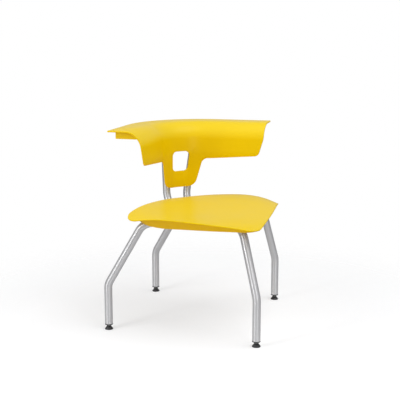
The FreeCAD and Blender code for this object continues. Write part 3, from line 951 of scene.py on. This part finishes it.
def grain_group():
    """Fine moulded grain and slow mottling: a height for bump, and a mask for colour and gloss."""
    if "Grain" in bpy.data.node_groups:
        return bpy.data.node_groups["Grain"]
    group = bpy.data.node_groups.new("Grain", "ShaderNodeTree")
    face = group.interface
    face.new_socket("Vector", in_out="INPUT", socket_type="NodeSocketVector")
    face.new_socket("Grain Scale", in_out="INPUT", socket_type="NodeSocketFloat")
    face.new_socket("Mottle Scale", in_out="INPUT", socket_type="NodeSocketFloat")
    face.new_socket("Height", in_out="OUTPUT", socket_type="NodeSocketFloat")
    face.new_socket("Mottle", in_out="OUTPUT", socket_type="NodeSocketFloat")
    entry = group.nodes.new("NodeGroupInput")
    leave = group.nodes.new("NodeGroupOutput")
    fine = add_node(group, "ShaderNodeTexNoise", Detail=3.0, Roughness=0.6)
    slow = add_node(group, "ShaderNodeTexNoise", Detail=4.0, Roughness=0.55)
    links = group.links
    links.new(entry.outputs["Vector"], fine.inputs["Vector"])
    links.new(entry.outputs["Vector"], slow.inputs["Vector"])
    links.new(entry.outputs["Grain Scale"], fine.inputs["Scale"])
    links.new(entry.outputs["Mottle Scale"], slow.inputs["Scale"])
    links.new(fine.outputs["Fac"], leave.inputs["Height"])
    links.new(slow.outputs["Fac"], leave.inputs["Mottle"])
    return group


def feed(tree, socket, value):
    """Links a socket to another, or sets it to a number or colour."""
    if isinstance(value, bpy.types.NodeSocket):
        tree.links.new(value, socket)
    else:
        socket.default_value = value


def mixed(tree, first, last, factor):
    """A colour that goes from first to last with a factor socket."""
    mix = tree.nodes.new("ShaderNodeMix")
    mix.data_type = "RGBA"
    for index, value in ((0, factor), (6, first), (7, last)):
        feed(tree, mix.inputs[index], value)
    return mix.outputs[2]


def spread(tree, source, low, high, low_out, high_out, way="LINEAR"):
    """A value stretched from one range to another."""
    node = tree.nodes.new("ShaderNodeMapRange")
    node.interpolation_type = way
    for socket, value in zip(node.inputs, (source, low, high, low_out, high_out)):
        feed(tree, socket, value)
    return node.outputs[0]


def coordinate_z(tree, kind):
    """The Z of a kind of texture coordinates."""
    place = tree.nodes.new("ShaderNodeTexCoord")
    split = tree.nodes.new("ShaderNodeSeparateXYZ")
    tree.links.new(place.outputs[kind], split.inputs[0])
    return split.outputs["Z"]


def grained_material(name, tone, roughness, metallic, specular, grain, mottle, bump, variation):
    """A material with fine grain in its normal and slow mottling in its colour and gloss."""
    material = bpy.data.materials.new(name)
    material.use_nodes = True
    tree = material.node_tree
    shader = tree.nodes["Principled BSDF"]
    shader.inputs["Metallic"].default_value = metallic
    shader.inputs["Specular IOR Level"].default_value = specular
    place = tree.nodes.new("ShaderNodeTexCoord")
    group = tree.nodes.new("ShaderNodeGroup")
    group.node_tree = grain_group()
    group.inputs["Grain Scale"].default_value = 1 / grain
    group.inputs["Mottle Scale"].default_value = 1 / mottle
    tree.links.new(place.outputs["Object"], group.inputs["Vector"])
    mask = group.outputs["Mottle"]
    dark = tuple(channel * (1 - variation) for channel in tone)
    light = tuple(min(1.0, channel * (1 + variation)) for channel in tone)
    tree.links.new(mixed(tree, (*dark, 1), (*light, 1), mask), shader.inputs["Base Color"])
    gloss = spread(tree, mask, MOTTLE_LOW, MOTTLE_HIGH, roughness - GLOSS_SWING, roughness + GLOSS_SWING)
    tree.links.new(gloss, shader.inputs["Roughness"])
    relief = add_node(tree, "ShaderNodeBump", Strength=bump, Distance=grain * GRAIN_DEPTH)
    tree.links.new(group.outputs["Height"], relief.inputs["Height"])
    tree.links.new(relief.outputs["Normal"], shader.inputs["Normal"])
    return material


def tint_facing(material, tint, start, full, most):
    """Tints faces by the Z of their normals: not at all up to start, and the most from full on."""
    tree = material.node_tree
    base = tree.nodes["Principled BSDF"].inputs["Base Color"]
    factor = spread(tree, coordinate_z(tree, "Normal"), start, full, 0.0, most)
    tree.links.new(mixed(tree, base.links[0].from_socket, (*tint, 1), factor), base)


def shell_material():
    setting = finish_settings()
    material = grained_material(
        "shell_plastic", setting.shell_colour, setting.shell_roughness, metallic=0.0, specular=0.09,
        grain=setting.grain_size, mottle=0.09, bump=0.25, variation=0.03)
    # Painted sheen: faces that look up are paled, standing in for the overhead light's sheen
    tint_facing(material, setting.painted_sheen_colour, SHEEN_START, SHEEN_FULL, setting.painted_sheen_share)
    # Painted shade: faces that look down are deepened, standing in for the shade under the seat's edge
    tint_facing(material, setting.painted_shade_colour, SHADE_START, SHADE_FULL, 1.0)
    return material


def tube_material():
    setting = finish_settings()
    material = grained_material(
        "satin_tube", setting.tube_colour, setting.tube_roughness, metallic=0.7, specular=0.5,
        grain=0.0007, mottle=0.05, bump=0.12, variation=0.04)
    tree = material.node_tree
    shader = tree.nodes["Principled BSDF"]
    shader.inputs["Specular Tint"].default_value = (*setting.tube_edge_colour, 1)
    shader.inputs["Anisotropic"].default_value = setting.tube_grind
    along = tree.nodes.new("ShaderNodeAttribute")
    along.attribute_name = "tube_axis"
    tree.links.new(along.outputs["Vector"], shader.inputs["Tangent"])
    return material


def plate_material():
    setting = finish_settings()
    return grained_material(
        "plate_steel", setting.tube_colour, setting.tube_roughness, metallic=0.7, specular=0.5,
        grain=0.001, mottle=0.05, bump=0.15, variation=0.05)


def glide_material():
    setting = finish_settings()
    return grained_material(
        "dark_nylon", setting.glide_colour, setting.glide_roughness, metallic=0.0, specular=0.5,
        grain=0.0008, mottle=0.02, bump=0.3, variation=0.2)


def zinc_material():
    setting = finish_settings()
    return grained_material(
        "zinc_plate", setting.zinc_colour, setting.zinc_roughness, metallic=1.0, specular=0.5,
        grain=0.0006, mottle=0.01, bump=0.1, variation=0.08)


def weld_material():
    setting = finish_settings()
    return grained_material(
        "weld_seam", setting.weld_colour, setting.weld_roughness, metallic=0.7, specular=0.5,
        grain=0.0015, mottle=0.006, bump=0.6, variation=0.12)


def once(name, maker):
    """The named material, made the first time it is asked for."""
    if name in bpy.data.materials:
        return bpy.data.materials[name]
    return maker()


# Operators

class CHAIR_OT_back(bpy.types.Operator):
    """Mould the back: its wall, lip, end ribs and screw bosses"""
    bl_idname = "chair.back"
    bl_label = "Back"

    def execute(self, context):
        others = [back_lip(), end_rib(-1), end_rib(1)]
        others += [back_boss(centre) for centre in back_screw_places()]
        piece = united("back_moulding", back_wall(), others)
        finish_piece(piece, once("shell_plastic", shell_material), ["back_shell"])
        return {"FINISHED"}


class CHAIR_OT_seat(bpy.types.Operator):
    """Dress the seat in moulded plastic"""
    bl_idname = "chair.seat"
    bl_label = "Seat"

    def execute(self, context):
        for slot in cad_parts["seat_shell"].material_slots:
            slot.material = once("shell_plastic", shell_material)
        return {"FINISHED"}


class CHAIR_OT_tubes(bpy.types.Operator):
    """Bend the legs and uprights, and weld the side legs to the rails"""
    bl_idname = "chair.tubes"
    bl_label = "Tubes"

    def execute(self, context):
        tubes = tube_sizes()
        front_end = Vector((0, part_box("front_leg")[1].y, 0))
        rear_end = Vector((0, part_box("rear_leg")[0].y, 0))
        routes = {
            "front_leg": leg_route("front", Vector((0, 1, 0)), tubes.front_lean, front_end),
            "rear_leg": leg_route("rear", Vector((0, -1, 0)), tubes.rear_lean, rear_end),
            "left_leg": side_leg_route("left", -1),
            "right_leg": side_leg_route("right", 1),
            "left_upright": rail_route(-1),
            "right_upright": rail_route(1),
        }
        material = once("satin_tube", tube_material)
        for node, route in routes.items():
            piece = scene_object(node + "_tube", bent_tube(route))
            finish_piece(piece, material, [node])
        for place, side in (("left", -1), ("right", 1)):
            bead = scene_object(place + "_weld_bead", saddle_bead(routes[place + "_leg"], side))
            finish_piece(bead, once("weld_seam", weld_material), [])
        return {"FINISHED"}


class CHAIR_OT_plates(bpy.types.Operator):
    """Cut the two steel plates under the seat"""
    bl_idname = "chair.plates"
    bl_label = "Plates"

    def execute(self, context):
        for node in ("hub_plate", "rear_plate"):
            piece = scene_object(node + "_steel", steel_plate(node))
            finish_piece(piece, once("plate_steel", plate_material), [node])
        return {"FINISHED"}


class CHAIR_OT_screws(bpy.types.Operator):
    """Turn the screws of the seat and the back"""
    bl_idname = "chair.screws"
    bl_label = "Screws"

    def execute(self, context):
        fitting = fitting_sizes()
        up = Vector((0, 0, 1))
        seat_screws = bmesh.new()
        for place in seat_screw_places():
            start = Vector((place.x, place.y, PLATE_BOTTOM))
            add_copy(seat_screws, screw(seat_screw_tip(place) - PLATE_BOTTOM), place_along(start, up))
        back_screws = bmesh.new()
        half_tube = tube_sizes().diameter / 2
        for centre in back_screw_places():
            reach = half_tube + wall_distance(centre) - fitting.screw_skin
            matrix = place_along(centre - back_screw_axis() * half_tube, back_screw_axis())
            add_copy(back_screws, screw(reach), matrix)
        for node, shape in (("seat_screws", seat_screws), ("back_screws", back_screws)):
            piece = scene_object(node + "_set", shape)
            finish_piece(piece, once("zinc_plate", zinc_material), [node])
        return {"FINISHED"}


class CHAIR_OT_plugs(bpy.types.Operator):
    """Turn the plugs in the ends of the rails and uprights"""
    bl_idname = "chair.plugs"
    bl_label = "Plugs"

    def execute(self, context):
        for place, side in (("left", -1), ("right", 1)):
            top, corner, nose = rail_route(side)
            ends = {"upright": (top, top - corner), "rail": (nose, nose - corner)}
            for name, (end, direction) in ends.items():
                shape = tube_plug()
                bmesh.ops.transform(shape, verts=shape.verts[:], matrix=place_along(end, direction))
                node = place + "_" + name + "_plug"
                piece = scene_object(node + "_cap", shape)
                finish_piece(piece, once("dark_nylon", glide_material), [node])
        return {"FINISHED"}


class CHAIR_OT_glides(bpy.types.Operator):
    """Turn the four glides: sleeve, stem, cap and pad"""
    bl_idname = "chair.glides"
    bl_label = "Glides"

    def execute(self, context):
        nylon = once("dark_nylon", glide_material)
        zinc = once("zinc_plate", zinc_material)
        for place in PLACES:
            kinds = (
                ("sleeve", glide_sleeve, nylon, "black_plastic", ROOT),
                ("stem", glide_stem, zinc, "zinc_steel", place + "_glide_swivel"),
                ("cap", glide_cap, nylon, "black_plastic", place + "_glide_base"),
                ("pad", glide_pad, nylon, "black_plastic", place + "_glide_base"),
            )
            for kind, maker, material, slot, body in kinds:
                shape = maker()
                bmesh.ops.translate(shape, verts=shape.verts[:], vec=foot(place))
                node = place + "_glide_" + kind
                piece = scene_object(node + "_turned", shape)
                finish_piece(piece, material, [node], body)
        return {"FINISHED"}


# Stage

def stage_settings():
    return bpy.context.scene.chair_stage


def area_lamp(name, place, power, width, height):
    """A soft panel lamp that points at the chair."""
    data = bpy.data.lights.new(name, "AREA")
    data.shape = "RECTANGLE"
    data.size = width
    data.size_y = height
    data.energy = power
    lamp = bpy.data.objects.new(name, data)
    lamp.location = place
    direction = Vector(stage_settings().lamp_aim) - Vector(place)
    lamp.rotation_euler = direction.to_track_quat("-Z", "Y").to_euler()
    bpy.context.scene.collection.objects.link(lamp)


def math_node(tree, operation, first, last):
    """A sum, product or limit of two sockets or numbers."""
    node = tree.nodes.new("ShaderNodeMath")
    node.operation = operation
    for socket, value in zip(node.inputs, (first, last)):
        feed(tree, socket, value)
    return node.outputs[0]


def ray_kinds(tree):
    """Whether the camera looks, and whether a mirror or glass looks."""
    path = tree.nodes.new("ShaderNodeLightPath")
    glossy = path.outputs["Is Glossy Ray"]
    mirror = math_node(tree, "MAXIMUM", glossy, path.outputs["Is Transmission Ray"])
    return path.outputs["Is Camera Ray"], mirror


def white_world():
    """A white room that lights evenly, looks white, and mirrors paler overhead than at the walls."""
    setting = stage_settings()
    world = bpy.data.worlds.new("studio")
    bpy.context.scene.world = world
    world.use_nodes = True
    tree = world.node_tree
    background = tree.nodes["Background"]
    background.inputs["Color"].default_value = (1, 1, 1, 1)
    camera, mirror = ray_kinds(tree)
    room = spread(
        tree, coordinate_z(tree, "Generated"), WALL_TOP, CEILING_START,
        setting.horizon_level, setting.ceiling_level)
    seen = math_node(tree, "MAXIMUM", camera, math_node(tree, "MULTIPLY", mirror, room))
    others = math_node(tree, "SUBTRACT", 1.0, mirror)
    matte = math_node(tree, "MULTIPLY", others, setting.world_level)
    strength = math_node(tree, "MAXIMUM", seen, matte)
    tree.links.new(strength, background.inputs["Strength"])


def floor_material(reach, fade):
    """Paper that keeps the shadow, is lifted to white for the eye and fades into the white room."""
    setting = stage_settings()
    material = bpy.data.materials.new("floor_paper")
    material.use_nodes = True
    tree = material.node_tree
    shader = tree.nodes["Principled BSDF"]
    shader.inputs["Base Color"].default_value = (*setting.floor_colour, 1)
    shader.inputs["Roughness"].default_value = 0.9
    shader.inputs["Specular IOR Level"].default_value = 0.1
    shader.inputs["Emission Color"].default_value = (1, 1, 1, 1)
    camera, mirror = ray_kinds(tree)
    seen = math_node(tree, "MAXIMUM", camera, mirror)
    glow = math_node(tree, "MULTIPLY", seen, setting.floor_lift)
    tree.links.new(glow, shader.inputs["Emission Strength"])
    place = tree.nodes.new("ShaderNodeTexCoord")
    distance = tree.nodes.new("ShaderNodeVectorMath")
    distance.operation = "LENGTH"
    tree.links.new(place.outputs["Object"], distance.inputs[0])
    edge = spread(tree, distance.outputs["Value"], reach, reach + fade, 1, 0, "SMOOTHSTEP")
    side = tree.nodes.new("ShaderNodeNewGeometry")
    above = math_node(tree, "SUBTRACT", 1.0, side.outputs["Backfacing"])
    tree.links.new(math_node(tree, "MULTIPLY", edge, above), shader.inputs["Alpha"])
    return material


def pale_floor():
    """A round floor under the chair."""
    setting = stage_settings()
    reach, fade = setting.floor_reach, setting.floor_fade
    shape = bmesh.new()
    bmesh.ops.create_circle(shape, cap_ends=True, segments=96, radius=reach + fade)
    floor = scene_object("floor", shape)
    floor.data.materials.append(floor_material(reach, fade))


class CHAIR_OT_stage(bpy.types.Operator):
    """Set the floor, the soft lamps and the camera"""
    bl_idname = "chair.stage"
    bl_label = "Studio"

    def execute(self, context):
        setting = stage_settings()
        scene = context.scene
        scene.view_settings.view_transform = "Standard"
        white_world()
        pale_floor()
        area_lamp("key_lamp", setting.key_place, setting.key_power, width=2.0, height=2.0)
        area_lamp("fill_lamp", setting.fill_place, setting.fill_power, width=1.0, height=1.6)
        area_lamp("strip_lamp", setting.strip_place, setting.strip_power, width=0.35, height=1.3)
        area_lamp("front_lamp", setting.front_place, setting.front_power, width=0.7, height=0.7)
        data = bpy.data.cameras.new("camera")
        data.lens = setting.lens
        data.sensor_width = 36
        camera = bpy.data.objects.new("camera", data)
        camera.location = setting.camera_place
        camera.rotation_euler = setting.camera_turn
        scene.collection.objects.link(camera)
        scene.camera = camera
        return {"FINISHED"}


# Panel and registration

class CHAIR_PT_panel(bpy.types.Panel):
    """Lists the chair's steps and settings"""
    bl_idname = "CHAIR_PT_panel"
    bl_label = "Classroom chair"
    bl_space_type = "VIEW_3D"
    bl_region_type = "UI"
    bl_category = "Chair"

    def draw(self, context):
        column = self.layout.column(align=True)
        for step in STEPS:
            column.operator(step.bl_idname)
        for group in GROUPS:
            settings = getattr(context.scene, group)
            box = self.layout.box()
            for name in settings.bl_rna.properties.keys():
                if name not in ("rna_type", "name"):
                    box.prop(settings, name)


STEPS = (
    CHAIR_OT_back, CHAIR_OT_seat, CHAIR_OT_tubes, CHAIR_OT_plates, CHAIR_OT_screws, CHAIR_OT_plugs,
    CHAIR_OT_glides, CHAIR_OT_stage)
GROUPS = {
    "chair_tubes": ChairTubes,
    "chair_back": ChairBack,
    "chair_fittings": ChairFittings,
    "chair_glides": ChairGlides,
    "chair_finish": ChairFinish,
    "chair_stage": ChairStage,
}
CLASSES = tuple(GROUPS.values()) + STEPS + (CHAIR_PT_panel,)


def register():
    for item in CLASSES:
        bpy.utils.register_class(item)
    for name, group in GROUPS.items():
        setattr(bpy.types.Scene, name, bpy.props.PointerProperty(type=group))


def unregister():
    for name in GROUPS:
        delattr(bpy.types.Scene, name)
    for item in reversed(CLASSES):
        bpy.utils.unregister_class(item)


def main():
    register()
    bpy.ops.chair.back()
    bpy.ops.chair.seat()
    bpy.ops.chair.tubes()
    bpy.ops.chair.plates()
    bpy.ops.chair.screws()
    bpy.ops.chair.plugs()
    bpy.ops.chair.glides()
    bpy.ops.chair.stage()


if __name__ == "__main__":
    main()
